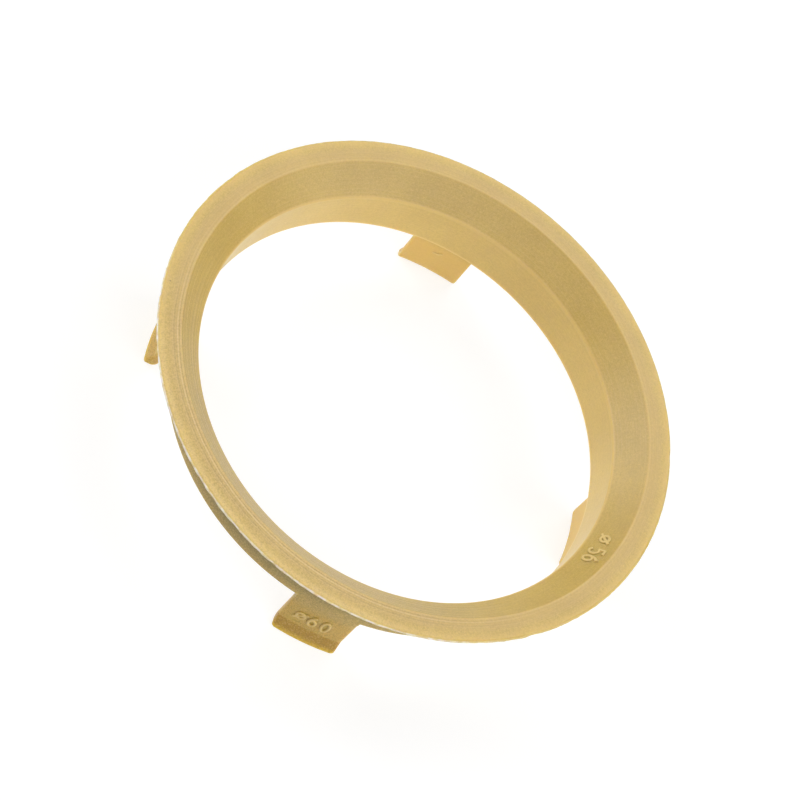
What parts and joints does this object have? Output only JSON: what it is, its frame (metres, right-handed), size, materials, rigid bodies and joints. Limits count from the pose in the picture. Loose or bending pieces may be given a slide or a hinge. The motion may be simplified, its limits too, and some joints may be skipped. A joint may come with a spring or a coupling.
{
  "type": "hub centring ring",
  "caption": "Moulded plastic centring ring with a flared collar, a plain hub bore and barbed snap clips that hold it in a wheel's centre bore.",
  "frame": {"origin": "on the ring's axis, in the plane of the clip tips that it stands on", "axes": "+Z along the ring's axis from the clip tips to the collar's rim, +X through the middle of a clip"},
  "size_m": [0.069, 0.069, 0.017],
  "materials": {
    "ring_plastic": "matt moulded plastic, warm sand colour, with fine turned lines from the mould"
  },
  "bodies": {
    "root": {"centring_ring": "ring_plastic"}
  },
  "joints": []
}
